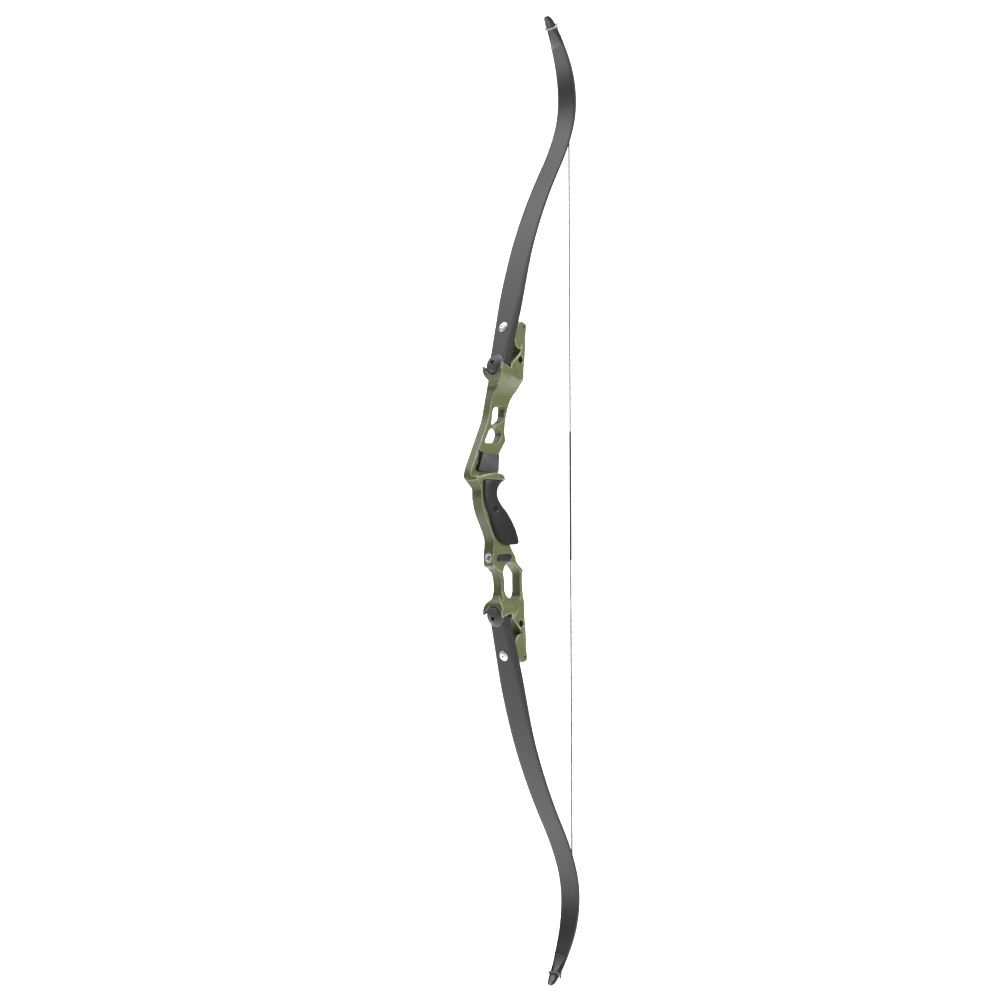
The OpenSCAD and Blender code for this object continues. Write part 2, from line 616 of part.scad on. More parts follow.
module string_half() {
  cylinder(r = string_radius, h = lift_z - 1, $fn = 24);
}
module place_string() {
  translate([0, string_y, 0]) children();
}
module loop_serving() {
  cord(concat([[0, string_y, lift_z]], [for (p = carried) string_point(p)]), serving_radius);
  for (s = [0, 1]) mirror([s, 0, 0])
    cord([string_point(split), nock_at(6.5, nock_depth + 4),
      nock_at(9.4, nock_depth - 0.5), nock_at(9.4, 1.5),
      nock_at(7, -2.1), nock_at(0, -2.4)], serving_radius - 0.15);
}
module center_serving() {
  difference() {
    cylinder(r = serving_radius, h = center_serving_length, $fn = 24);
    translate([0, 0, -over])
      cylinder(r = string_radius + clearance, h = center_serving_length + 2 * over, $fn = 24);
  }
}
module string_upper() color(grey) bow_frame() place_string() string_half();
module string_lower() color(black) bow_frame() lower_end() place_string() string_half();
module loop_serving_upper() color(grey) bow_frame() loop_serving();
module loop_serving_lower() color(black) bow_frame() lower_end() loop_serving();
module center_serving_upper() color(black) bow_frame() place_string()
  center_serving();
module center_serving_lower() color(black) bow_frame() lower_end() place_string()
  center_serving();

riser();
grip();
grip_screw();
side_plate();
plate_strip();
badge_plaque();
stabilizer_bushing();
cushion_bushing();
limb_upper();
limb_lower();
tip_overlay_upper();
tip_overlay_lower();
dowel_upper();
dowel_lower();
limb_screw_upper();
limb_screw_lower();
screw_washer_upper();
screw_washer_lower();
limb_bolt_upper();
limb_bolt_lower();
thrust_washer_upper();
thrust_washer_lower();
bolt_insert_upper();
bolt_insert_lower();
lock_screw_upper();
lock_screw_lower();
align_screws_upper();
align_screws_lower();
string_upper();
string_lower();
loop_serving_upper();
loop_serving_lower();
center_serving_upper();
center_serving_lower();
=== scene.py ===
import math

import bmesh
import bpy
from bpy.props import FloatProperty, FloatVectorProperty, IntProperty, PointerProperty
from mathutils import Matrix, Vector


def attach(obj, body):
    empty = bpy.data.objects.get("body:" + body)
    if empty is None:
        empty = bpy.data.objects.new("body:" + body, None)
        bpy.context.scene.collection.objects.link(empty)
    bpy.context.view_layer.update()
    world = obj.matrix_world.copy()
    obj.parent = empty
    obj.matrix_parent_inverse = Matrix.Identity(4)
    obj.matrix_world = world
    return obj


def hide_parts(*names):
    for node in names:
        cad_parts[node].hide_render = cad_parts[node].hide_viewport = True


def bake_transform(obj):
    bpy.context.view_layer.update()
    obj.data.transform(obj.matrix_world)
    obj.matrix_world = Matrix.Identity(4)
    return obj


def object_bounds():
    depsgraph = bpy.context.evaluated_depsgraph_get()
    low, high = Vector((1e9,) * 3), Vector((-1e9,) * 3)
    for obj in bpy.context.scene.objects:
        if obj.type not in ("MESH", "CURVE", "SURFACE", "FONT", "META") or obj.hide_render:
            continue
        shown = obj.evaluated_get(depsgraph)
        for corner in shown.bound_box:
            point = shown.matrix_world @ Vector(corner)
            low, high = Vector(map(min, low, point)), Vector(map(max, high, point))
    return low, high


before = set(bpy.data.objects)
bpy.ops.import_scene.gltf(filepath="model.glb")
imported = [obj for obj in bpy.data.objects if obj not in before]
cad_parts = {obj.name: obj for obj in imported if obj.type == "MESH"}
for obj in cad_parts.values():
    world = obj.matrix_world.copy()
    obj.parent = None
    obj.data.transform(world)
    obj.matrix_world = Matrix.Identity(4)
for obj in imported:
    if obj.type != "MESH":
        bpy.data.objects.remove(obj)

bl_info = {
    "name": "Take-down recurve bow",
    "version": (1, 0, 0),
    "blender": (4, 5, 0),
    "location": "3D View > Sidebar > Bow",
    "description": "Dresses the packed bow with modelled pieces and finishes",
    "category": "Object",
}

CAD_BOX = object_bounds()
# Millimetres in a metre
MM = 1000
# Pieces are drawn in millimetres, with z = 0 halfway between the two limb bolts, and moved
# from there into the frame, which is in metres and starts at the stabiliser bushing
BUSHING_MOUTH = (0, -3, -101)
TO_FRAME = Matrix.Scale(0.001, 4) @ Matrix.Translation((0, 3, 101))
TO_LOWER_END = TO_FRAME @ Matrix.Scale(-1, 4, (0, 0, 1))
ENDS = (("upper", TO_FRAME), ("lower", TO_LOWER_END))
BOLT_SEAT = Vector((0, 14.8, 187.1))
BUTT_TILT = math.radians(17.6)
SCREW_SPACING = 60
AT_BOLT = Matrix.Translation(BOLT_SEAT) @ Matrix.Rotation(math.radians(90) - BUTT_TILT, 4, "X")
AT_LIMB_SCREW = AT_BOLT @ Matrix.Translation((0, SCREW_SPACING, 0))


# Sizes and colours that a user would change

class BowShapeSettings(bpy.types.PropertyGroup):
    riser_voxel: FloatProperty(
        name="Riser detail", description="Mesh size of the rounded riser",
        default=0.00105, min=0.0008, max=0.003, precision=5, unit="LENGTH")
    riser_rounding: IntProperty(
        name="Riser rounding", description="Smoothing passes over the riser's edges",
        default=7, min=0, max=30)
    grip_voxel: FloatProperty(
        name="Grip detail", description="Mesh size of the moulded grip",
        default=0.0009, min=0.0006, max=0.003, precision=5, unit="LENGTH")
    limb_step: FloatProperty(
        name="Limb step", description="Distance between two sections of a limb",
        default=0.006, min=0.002, max=0.02, precision=4, unit="LENGTH")
    string_radius: FloatProperty(
        name="String radius", description="Radius over the string's strands",
        default=0.0013, min=0.001, max=0.002, precision=5, unit="LENGTH")
    string_twist: FloatProperty(
        name="Strand pitch", description="Length of one turn of the twisted strands",
        default=0.052, min=0.01, max=0.2, unit="LENGTH")
    serving_radius: FloatProperty(
        name="Serving radius", description="Radius over the wound servings",
        default=0.00175, min=0.0014, max=0.0025, precision=5, unit="LENGTH")


class BowColourSettings(bpy.types.PropertyGroup):
    riser: FloatVectorProperty(
        name="Riser enamel", description="Base colour of the riser",
        default=(0.100, 0.116, 0.039), subtype="COLOR", min=0, max=1)
    grip: FloatVectorProperty(
        name="Grip", description="Base colour of the moulded grip",
        default=(0.012, 0.012, 0.0122), subtype="COLOR", min=0, max=1)
    limb_face: FloatVectorProperty(
        name="Limb face", description="Base colour of the limb's facing",
        default=(0.020, 0.020, 0.0195), subtype="COLOR", min=0, max=1)
    plate: FloatVectorProperty(
        name="Side plate", description="Base colour of the anodised side plate",
        default=(0.075, 0.075, 0.075), subtype="COLOR", min=0, max=1)
    string_pale: FloatVectorProperty(
        name="Pale strands", description="Lighter fibre of the string",
        default=(0.42, 0.42, 0.40), subtype="COLOR", min=0, max=1)
    string_dark: FloatVectorProperty(
        name="Dark strands", description="Darker fibre of the string",
        default=(0.045, 0.045, 0.047), subtype="COLOR", min=0, max=1)
    floor: FloatVectorProperty(
        name="Floor", description="Colour of the studio floor",
        default=(0.60, 0.60, 0.60), subtype="COLOR", min=0, max=1)


# Node materials

# Range in which most of a noise pattern lies
MIDDLE = (0.3, 0.7)
# Sockets of the Mix node when it mixes colours
MIX_FACTOR, MIX_A, MIX_B, MIX_RESULT = 0, 6, 7, 2


class Finish:
    """One procedural material, built node by node."""

    def __init__(self, name, colour, roughness, **sockets):
        self.material = bpy.data.materials.new(name)
        self.material.use_nodes = True
        self.tree = self.material.node_tree
        self.shader = self.tree.nodes["Principled BSDF"]
        self.material.diffuse_color = (*colour, 1)
        self.shader.inputs["Base Color"].default_value = (*colour, 1)
        self.shader.inputs["Roughness"].default_value = roughness
        for socket, value in sockets.items():
            self.shader.inputs[socket.replace("_", " ")].default_value = value
        self.place = self.add("ShaderNodeTexCoord").outputs["Object"]

    def add(self, kind, inputs=None, **settings):
        node = self.tree.nodes.new(kind)
        for key, value in settings.items():
            setattr(node, key, value)
        for key, value in (inputs or {}).items():
            self.feed(node.inputs[key], value)
        return node

    def feed(self, socket, value):
        if isinstance(value, bpy.types.NodeSocket):
            self.tree.links.new(value, socket)
        else:
            socket.default_value = value

    def stretched(self, scale):
        return self.add("ShaderNodeMapping", {"Vector": self.place, "Scale": scale}).outputs["Vector"]

    def noise(self, scale, detail=2.0, rough=0.5, vector=None):
        return self.add("ShaderNodeTexNoise", {
            "Vector": vector or self.place, "Scale": scale, "Detail": detail,
            "Roughness": rough}).outputs["Fac"]

    def cells(self, scale):
        return self.add("ShaderNodeTexVoronoi", {
            "Vector": self.place, "Scale": scale}).outputs["Distance"]

    def remap(self, value, low, high, to_low, to_high):
        return self.add("ShaderNodeMapRange", {
            "Value": value, "From Min": low, "From Max": high,
            "To Min": to_low, "To Max": to_high}).outputs["Result"]

    def maths(self, operation, a, b=0.0):
        node = self.add("ShaderNodeMath", operation=operation)
        for socket, value in zip(node.inputs, (a, b)):
            self.feed(socket, value)
        return node.outputs["Value"]

    def mix(self, factor, a, b):
        node = self.add("ShaderNodeMix", data_type="RGBA")
        for index, value in ((MIX_FACTOR, factor), (MIX_A, a), (MIX_B, b)):
            self.feed(node.inputs[index], (*value, 1) if isinstance(value, tuple) else value)
        return node.outputs[MIX_RESULT]

    def read(self, attribute):
        return self.add("ShaderNodeAttribute", attribute_name=attribute).outputs["Vector"]

    def parts_of(self, vector):
        return self.add("ShaderNodeSeparateXYZ", {"Vector": vector}).outputs

    def colour(self, socket):
        self.tree.links.new(socket, self.shader.inputs["Base Color"])

    def roughness(self, socket):
        self.tree.links.new(socket, self.shader.inputs["Roughness"])

    def bump(self, height, distance, strength=1.0):
        node = self.add("ShaderNodeBump", {
            "Height": height, "Distance": distance, "Strength": strength})
        self.tree.links.new(node.outputs["Normal"], self.shader.inputs["Normal"])


def shade(colour, factor):
    return tuple(min(1.0, c * factor) for c in colour)


def enamel(colour):
    """Satin enamel with a painted highlight on its edges and painted shade in its inner corners. The
    'fold' attribute is 0 in an inner corner, 0.5 on the flat, 1 on an edge.
    """
    f = Finish("riser_enamel", colour, 0.42, Specular_IOR_Level=0.45, Coat_Weight=0.2,
               Coat_Roughness=0.3)
    fold = f.parts_of(f.read("fold"))["X"]
    cloud = f.noise(34, 3)
    speck = f.noise(1500, 2)
    tint = f.mix(f.remap(cloud, *MIDDLE, 0, 1), shade(colour, 0.93), shade(colour, 1.07))
    tint = f.mix(f.remap(speck, 0.62, 0.8, 0, 0.5), tint, shade(colour, 1.35))
    # Painted highlight: a pale line along the edges, broken up by noise
    painted_edge_highlight = f.maths("MULTIPLY", f.remap(fold, 0.66, 0.84, 0, 0.9),
                     f.remap(f.noise(160, 3), 0.3, 0.6, 0.6, 1))
    tint = f.mix(painted_edge_highlight, tint, tuple(0.8 * c + 0.2 for c in shade(colour, 2.4)))
    # Painted shade: the colour darkens towards the inner corners
    f.colour(f.mix(f.remap(fold, 0.2, 0.44, 0.6, 0), tint, shade(colour, 0.45)))
    f.roughness(f.remap(f.noise(190, 3), *MIDDLE, 0.38, 0.48))
    f.bump(f.noise(900, 2), 0.00006, 0.55)
    return f.material


def moulded_grip(colour):
    f = Finish("grip_moulding", colour, 0.5, Specular_IOR_Level=0.3)
    grain = f.cells(1150)
    height = f.parts_of(f.place)["Z"]
    # The palm swell below the screw is coarser and darker than the throat
    lower = f.remap(height, 0.045, 0.075, 1, 0)
    f.colour(f.mix(lower, shade(colour, 1.6), shade(colour, 0.4)))
    f.roughness(f.maths("ADD", f.remap(lower, 0, 1, 0.38, 0.55),
                        f.remap(f.noise(300), *MIDDLE, -0.04, 0.05)))
    f.bump(f.maths("ADD", grain, f.noise(2300, 2)), 0.00009, 0.7)
    return f.material


def facing(colour):
    """Limb facing with its edges.

    The 'lie' attribute holds the place across (-1 to 1), in depth (0 to 1) and along, in metres.
    """
    f = Finish("limb_facing", colour, 0.45, Specular_IOR_Level=0.55)
    lie = f.parts_of(f.read("lie"))
    fibre = f.noise(1.0, 3, 0.6, f.add("ShaderNodeCombineXYZ", {
        "X": f.maths("MULTIPLY", lie["X"], 45), "Y": f.maths("MULTIPLY", lie["Y"], 10),
        "Z": f.maths("MULTIPLY", lie["Z"], 18)}).outputs["Vector"])
    face = f.mix(f.remap(fibre, *MIDDLE, 0, 1), shade(colour, 0.85), shade(colour, 1.2))
    # Painted highlight: a thin light line just inside both borders of the face
    border = f.maths("ABSOLUTE", lie["X"])
    painted_edge_line = f.maths("MULTIPLY", f.remap(border, 0.915, 0.925, 0, 1),
                     f.remap(border, 0.935, 0.945, 1, 0))
    face = f.mix(f.maths("MULTIPLY", painted_edge_line, 0.5), face, shade(colour, 5))
    # Lamination lines on the edges
    layer = f.maths("PINGPONG", f.maths("MULTIPLY", lie["Y"], 5), 1)
    edge = f.mix(f.remap(layer, 0.35, 0.65, 0, 1), shade(colour, 0.1), shade(colour, 0.35))
    inside = f.maths("MULTIPLY", f.remap(lie["Y"], 0.06, 0.10, 0, 1),
                     f.remap(lie["Y"], 0.90, 0.94, 1, 0))
    f.colour(f.mix(inside, face, edge))
    f.roughness(f.maths("ADD", f.remap(inside, 0, 1, 0.42, 0.55),
                        f.remap(fibre, *MIDDLE, -0.02, 0.03)))
    f.bump(fibre, 0.00003, 0.4)
    return f.material


def gloss_black(name="tip_gloss", level=0.013):
    f = Finish(name, (level, level, level * 1.05), 0.3, Coat_Weight=0.35, Coat_Roughness=0.22)
    f.colour(f.mix(f.remap(f.noise(120, 3), *MIDDLE, 0, 1), (level * 0.7,) * 3, (level * 1.5,) * 3))
    f.roughness(f.remap(f.noise(420, 3), 0.35, 0.7, 0.26, 0.38))
    f.bump(f.noise(260, 1), 0.00005, 0.3)
    return f.material


def anodised(name, colour, rough, metal):
    f = Finish(name, colour, rough, Metallic=metal)
    fine = f.noise(2600, 2)
    f.colour(f.mix(f.remap(f.noise(90, 3), *MIDDLE, 0, 1), shade(colour, 0.85), shade(colour, 1.15)))
    f.roughness(f.remap(fine, *MIDDLE, rough - 0.06, rough + 0.08))
    f.bump(fine, 0.00002, 0.5)
    return f.material


def turned(name, colour, rough, across=(1, 1, 1)):
    f = Finish(name, colour, rough, Metallic=1.0)
    rings = f.noise(700, 3, 0.6, f.stretched(across))
    f.colour(f.mix(f.remap(rings, *MIDDLE, 0, 1), shade(colour, 0.82), shade(colour, 1.08)))
    f.roughness(f.remap(rings, *MIDDLE, rough - 0.06, rough + 0.1))
    f.bump(rings, 0.00002, 0.6)
    return f.material


def strand_fibre(name, pale, dark, patches):
    """Twisted fibre. The 'strand' attribute runs from 0 on a dark strand to 1 on a pale one."""
    f = Finish(name, pale, 0.62, Specular_IOR_Level=0.35, Sheen_Weight=0.25)
    strand = f.parts_of(f.read("strand"))["X"]
    along = f.noise(1.0, 2, 0.6, f.stretched((40, 40, 38)))
    # Where the noise along the string is low, the pale strands are darkened by the share in patches: a
    # little on the upper string, almost fully on the lower
    pale_showing = f.maths("MULTIPLY", strand, f.remap(along, 0.42, 0.58, 1 - patches, 1))
    fuzz = f.noise(1.0, 3, 0.6, f.stretched((5200, 5200, 420)))
    f.colour(f.mix(pale_showing, f.mix(fuzz, shade(dark, 0.6), shade(dark, 1.5)),
                   f.mix(fuzz, shade(pale, 0.75), shade(pale, 1.15))))
    f.bump(fuzz, 0.00012, 0.7)
    return f.material


def wound_thread(name, colour):
    f = Finish(name, colour, 0.5, Specular_IOR_Level=0.45, Sheen_Weight=0.2)
    lay = f.noise(1.0, 2, 0.6, f.stretched((900, 900, 3800)))
    f.colour(f.mix(f.remap(lay, *MIDDLE, 0, 1), shade(colour, 0.6), shade(colour, 1.6)))
    f.roughness(f.remap(lay, *MIDDLE, 0.42, 0.6))
    f.bump(lay, 0.00012, 0.8)
    return f.material


def studio_floor(colour):
    f = Finish("studio_floor", colour, 0.7, Specular_IOR_Level=0.2)
    f.colour(f.mix(f.noise(3, 3), shade(colour, 0.985), shade(colour, 1.0)))
    f.bump(f.noise(220, 2), 0.0003, 0.15)
    return f.material


def lit_paper():
    f = Finish("studio_paper", (0.85, 0.85, 0.85), 0.8, Specular_IOR_Level=0.1, Emission_Strength=1.0)
    f.shader.inputs["Emission Color"].default_value = (1, 1, 1, 1)
    f.colour(f.mix(f.noise(3, 3), (0.83, 0.83, 0.83), (0.86, 0.86, 0.86)))
    f.bump(f.noise(220, 2), 0.0002, 0.1)
    return f.material


FINISHES = {}


def finish_named(name):
    """Builds each finish once, from the colours in the scene's settings."""
    if name not in FINISHES:
        c = bpy.context.scene.bow_colours
        fibres = tuple(c.string_pale), tuple(c.string_dark)
        made = {
            "enamel": lambda: enamel(tuple(c.riser)),
            "grip": lambda: moulded_grip(tuple(c.grip)),
            "facing": lambda: facing(tuple(c.limb_face)),
            "tip": lambda: gloss_black(),
            "plaque": lambda: gloss_black("plaque_gloss", 0.02),
            "bolt": lambda: anodised("bolt_anodised", (0.085, 0.085, 0.085), 0.5, 0.2),
            "plate": lambda: anodised("plate_anodised", tuple(c.plate), 0.5, 0.4),
            "bright": lambda: turned("bright_steel", (0.92, 0.92, 0.91), 0.42),
            "steel": lambda: turned("plain_steel", (0.45, 0.45, 0.46), 0.3),
            "blackened": lambda: anodised("blackened_steel", (0.012, 0.012, 0.012), 0.4, 0.3),
            "brass": lambda: turned("turned_brass", (0.62, 0.46, 0.19), 0.28),
            "strip": lambda: turned("strip_aluminium", (0.62, 0.63, 0.62), 0.3, (1, 1, 8)),
            "string_upper": lambda: strand_fibre("string_pale", *fibres, 0.25),
            "string_lower": lambda: strand_fibre("string_dark", *fibres, 0.95),
            "serving": lambda: wound_thread("serving_thread", (0.030, 0.030, 0.032)),
            "loop_upper": lambda: wound_thread("loop_thread_pale", (0.30, 0.30, 0.29)),
            "loop_lower": lambda: wound_thread("loop_thread_dark", (0.035, 0.035, 0.036)),
            "floor": lambda: studio_floor(tuple(c.floor)),
            "paper": lambda: lit_paper(),
        }[name]
        FINISHES[name] = made()
    return FINISHES[name]


# Mesh helpers

def piece(name, bm, finish):
    """Turns a bmesh, in metres in the frame, into an object at the origin."""
    mesh = bpy.data.meshes.new(name)
    bm.to_mesh(mesh)
    bm.free()
    mesh.materials.append(finish_named(finish))
    mesh.shade_smooth()
    obj = bpy.data.objects.new(name, mesh)
    bpy.context.scene.collection.objects.link(obj)
    return obj


def apply_modifiers(obj):
    bpy.context.view_layer.update()
    graph = bpy.context.evaluated_depsgraph_get()
    mesh = bpy.data.meshes.new_from_object(obj.evaluated_get(graph), depsgraph=graph)
    obj.modifiers.clear()
    obj.data = mesh


def subtract(obj, cutter):
    """Cuts a bmesh out of a piece, both in metres in the frame."""
    tool_mesh = bpy.data.meshes.new("cutter")
    cutter.to_mesh(tool_mesh)
    cutter.free()
    tool = bpy.data.objects.new("cutter", tool_mesh)
    bpy.context.scene.collection.objects.link(tool)
    cut = obj.modifiers.new("cut", "BOOLEAN")
    cut.object, cut.operation, cut.solver = tool, "DIFFERENCE", "EXACT"
    apply_modifiers(obj)
    bpy.data.objects.remove(tool)
    bpy.data.meshes.remove(tool_mesh)


def soften_angles(obj, degrees=35):
    obj.data.shade_smooth()
    obj.data.set_sharp_from_angle(angle=math.radians(degrees))


def mark_folds(obj, reach, passes=3):
    """Stores how far each vertex stands out of its surroundings (above 0.5) or lies in (below)."""
    bm = bmesh.new()
    bm.from_mesh(obj.data)
    bend = []
    for v in bm.verts:
        ring = [e.other_vert(v).co for e in v.link_edges]
        middle = sum(ring, Vector()) / max(1, len(ring))
        span = sum((c - v.co).length for c in ring) / max(1, len(ring))
        bend.append((v.co - middle).dot(v.normal) / max(span, 1e-6) ** 2)
    for _ in range(passes):
        bend = [(bend[v.index] + sum(bend[e.other_vert(v).index] for e in v.link_edges))
                / (1 + len(v.link_edges)) for v in bm.verts]
    bm.free()
    layer = obj.data.attributes.new("fold", "FLOAT_VECTOR", "POINT")
    for item, value in zip(layer.data, bend):
        item.vector = (min(1.0, max(0.0, 0.5 + 0.5 * value * reach)), 0, 0)


def merged_copy(node):
    """A copy of a node's mesh with its loose triangles joined."""
    bm = bmesh.new()
    bm.from_mesh(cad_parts[node].data)
    bmesh.ops.remove_doubles(bm, verts=bm.verts, dist=2e-6)
    return bm


def rounded_shell(name, node, finish, voxel, passes):
    """A node's shape in an even mesh, with its edges rounded."""
    obj = piece(name, merged_copy(node), finish)
    remesh = obj.modifiers.new("even", "REMESH")
    remesh.mode, remesh.voxel_size = "VOXEL", voxel
    smooth = obj.modifiers.new("round", "SMOOTH")
    smooth.factor, smooth.iterations = 0.5, passes
    apply_modifiers(obj)
    return obj


def lathe(profile, steps, at):
    """Turns (radius, height) points in millimetres about the local z axis."""
    bm = bmesh.new()
    verts = [bm.verts.new((r, 0, h)) for r, h in profile]
    edges = [bm.edges.new(pair) for pair in zip(verts, verts[1:])]
    bmesh.ops.spin(bm, geom=verts + edges, cent=(0, 0, 0), axis=(0, 0, 1),
                   angle=math.tau, steps=steps, use_merge=True)
    bmesh.ops.remove_doubles(bm, verts=bm.verts, dist=1e-4)
    bmesh.ops.transform(bm, matrix=at, verts=bm.verts)
    close_shell(bm)
    return bm


def close_shell(bm):
    """Closes the open ends and turns all faces outwards."""
    bmesh.ops.holes_fill(bm, edges=[e for e in bm.edges if e.is_boundary], sides=0)
    bmesh.ops.recalc_face_normals(bm, faces=bm.faces)


def prism(sides, radius, low, high, at):
    bm = bmesh.new()
    bmesh.ops.create_cone(bm, cap_ends=True, segments=sides, radius1=radius, radius2=radius,
                          depth=high - low, matrix=at @ Matrix.Translation((0, 0, (low + high) / 2)))
    bmesh.ops.recalc_face_normals(bm, faces=bm.faces)
    return bm


def rounded(points, per_corner=5):
    """Outline of (a, b, easing) corners, each eased over its distance."""
    out = []
    for i, (a, b, r) in enumerate(points):
        here = Vector((a, b))
        before = Vector(points[i - 1][:2]) - here
        after = Vector(points[(i + 1) % len(points)][:2]) - here
        d = min(r, 0.49 * before.length, 0.49 * after.length)
        p, q = here + before.normalized() * d, here + after.normalized() * d
        for k in range(per_corner + 1):
            t = k / per_corner
            out.append((1 - t) ** 2 * p + 2 * t * (1 - t) * here + t * t * q)
    return out


def slab_x(outline, x0, x1):
    """Solid between two planes across x, from a (y, z) outline in millimetres."""
    bm = bmesh.new()
    face = bm.faces.new([bm.verts.new((x0, p[0], p[1])) for p in outline])
    made = bmesh.ops.extrude_face_region(bm, geom=[face])
    bmesh.ops.translate(bm, vec=(x1 - x0, 0, 0),
                        verts=[g for g in made["geom"] if isinstance(g, bmesh.types.BMVert)])
    bmesh.ops.remove_doubles(bm, verts=bm.verts, dist=1e-4)
    bmesh.ops.recalc_face_normals(bm, faces=bm.faces)
    return bm


def bevel_sharp(bm, width, segments, degrees=40):
    sharp = [e for e in bm.edges
             if len(e.link_faces) == 2 and e.calc_face_angle(0) > math.radians(degrees)]
    bmesh.ops.bevel(bm, geom=sharp, offset=width, offset_type="OFFSET", segments=segments,
                    profile=0.5, affect="EDGES", material=-1, clamp_overlap=True)


def table_at(x, table):
    """Value at x in a table of (x, value) corners joined by straight lines."""
    if x <= table[0][0]:
        return table[0][1]
    for (a, b), (c, d) in zip(table, table[1:]):
        if x <= c:
            return b + (d - b) * (x - a) / (c - a)
    return table[-1][1]


# Limb: its line, thickness and width, as in the construction

LIMB_STRETCHES = ((115, 0), (60, 1.74), (100, 7.53), (80, 5.7), (30, -3.15), (45, -8.35),
                  (60, -24.92), (50, -18.24), (74, -19.5))
LIMB_THICK = ((0, 16.3), (24, 15.4), (55, 13.7), (87, 11.8), (118, 9.3), (150, 7.3), (182, 5.5),
              (205, 4.8), (420, 4.7), (470, 5.2), (510, 5.2), (545, 4.7), (570, 5.4), (600, 6.6))
LIMB_WIDE = ((150, 26.2), (195, 26.2), (285, 38.1), (315, 39), (375, 39), (480, 35.6), (600, 34.1),
             (645, 32.1), (675, 28.6), (705, 23), (728, 17), (735, 13.6), (739, 8), (741, 3))
OVERLAY_START = 549
OVERLAY_DEPTH = ((546, 0), (556, 1.7), (570, 2.2))
OVERLAY_LAND = ((549, 0.9), (562, 0.66), (574, 0.3), (577, 0.35), (584, 0.4), (592, 0.34), (599, 0.1))
OVERLAY_RIM = ((549, 0.3), (556, 1.2), (565, 1.8), (576, 2.0), (585, 1.9), (599, 2.0))
FORK_REACH = 14.4
NOCK_AT = 580.5
NOCK_RADIUS = 2.1
NOCK_HALF_WIDTH = 9.1
LIMB_END = 599.0
TIP_TOP = 741
SERVING_LIFT = 616.6
LINE_START = -15.0
LINE_STEP = 0.5


def limb_line():
    """Points (y, z, heading, distance from the bolt) at even steps along the limb's face."""
    heading, s = BUTT_TILT, LINE_START
    y = BOLT_SEAT.y + LINE_START * math.sin(BUTT_TILT)
    z = BOLT_SEAT.z + LINE_START * math.cos(BUTT_TILT)
    line = [(y, z, heading, s)]
    for length, turn in LIMB_STRETCHES:
        count = round(length / LINE_STEP)
        for _ in range(count):
            half = math.radians(turn) / count / 2
            y += LINE_STEP * math.sin(heading + half)
            z += LINE_STEP * math.cos(heading + half)
            heading += 2 * half
            s += LINE_STEP
            line.append((y, z, heading, s))
    return line


LINE = limb_line()


def limb_at(s):
    steps = (s - LINE_START) / LINE_STEP
    i = max(0, min(len(LINE) - 2, int(steps)))
    t = steps - i
    return tuple(a + (b - a) * t for a, b in zip(LINE[i], LINE[i + 1]))


def behind(s, depth):
    """Place (y, z) at a depth behind the limb's face."""
    y, z, heading, _ = limb_at(s)
    return y + depth * math.cos(heading), z - depth * math.sin(heading)


def half_width(s, z):
    """Half the face's width at height z, eased between the table's corners and drawn in at the nock."""
    reach = min(9.0, max(0.0, (TIP_TOP - z) * 0.4))
    # The mean of seven full widths, halved
    wide = sum(table_at(z + reach * k / 3, LIMB_WIDE) for k in range(-3, 4)) / 14
    notch = NOCK_RADIUS ** 2 - (s - NOCK_AT) ** 2
    if notch > 0:
        wide -= max(0.0, math.sqrt(notch) - (NOCK_HALF_WIDTH - wide))
    if s < 0:
        wide = min(wide, math.sqrt(max(0.04, FORK_REACH ** 2 - s * s)))
    return max(0.4, wide)


def stations(first, last, step):
    """Distances along the limb, closer at the fork, the nock and the end."""
    out, s = [], first
    while s < last - 0.05:
        out.append(s)
        fine = 0.6 if s < -8 or abs(s - NOCK_AT) < 4 or s > LIMB_END - 9 else step
        s += min(fine, step)
    return out + [last]


def border_ring(corner, across=6, deep=4, turn=3):
    """Section outline as (across -1..1, inset from the border mm, depth 0..1, inset from the face mm)."""
    points = []
    for sign, low, from_face in ((1, 0, True), (1, 1, False), (-1, 1, True), (-1, 0, False)):
        for k in range(turn + 1):
            t = math.pi / 2 * k / turn
            a, b = corner * (1 - math.sin(t)), corner * (1 - math.cos(t))
            points.append((sign, a, low, b) if from_face else (sign, b, low, a))
        if from_face:
            points += [(sign, 0, k / deep if sign > 0 else 1 - k / deep, 0) for k in range(1, deep)]
        else:
            points += [(sign * (1 - 2 * k / across), 0, low, 0) for k in range(1, across)]
    return points


def skin_rings(rings, layer_name):
    """Skins rings of (point, attribute vector) by extruding the first ring from one to the next."""
    bm = bmesh.new()
    layer = bm.verts.layers.float_vector.new(layer_name)
    ring = [bm.verts.new(p) for p, _ in rings[0]]
    loop = [bm.edges.new((v, ring[(i + 1) % len(ring)])) for i, v in enumerate(ring)]
    for v, (_, value) in zip(ring, rings[0]):
        v[layer] = value
    for spots in rings[1:]:
        made = bmesh.ops.extrude_edge_only(bm, edges=loop)["geom"]
        fresh = {g for g in made if isinstance(g, bmesh.types.BMVert)}
        above = {e.other_vert(v): v for v in fresh for e in v.link_edges if e.other_vert(v) not in fresh}
        loop = [e for e in made if isinstance(e, bmesh.types.BMEdge) and set(e.verts) <= fresh]
        ring = [above[v] for v in ring]
        for v, (p, value) in zip(ring, spots):
            v.co = p
            v[layer] = value
    close_shell(bm)
    return bm


def overlay_slant(s, across):
    """How much further along the overlay's slanted start lies at one side."""
    slant, fade_end, fade = 2.7, 575, 26
    return slant * across * min(1.0, max(0.0, (fade_end - s) / fade))


def limb_ring(s, back, shape):
    ring = []
    for across, inset_x, low, inset_d in shape:
        front = table_at(s - overlay_slant(s, across), OVERLAY_DEPTH)
        room = max(0.05, back - front)
        rim = min(inset_d, room * 0.45)
        depth = front + room * low + (rim if low == 0 else -rim)
        y, z = behind(s, depth)
        half = half_width(s, z)
        x = across * half - math.copysign(min(inset_x, half * 0.6), across)
        ring.append((Vector((x, y, z)), Vector((x / half, (depth - front) / room, s / MM))))
    return ring


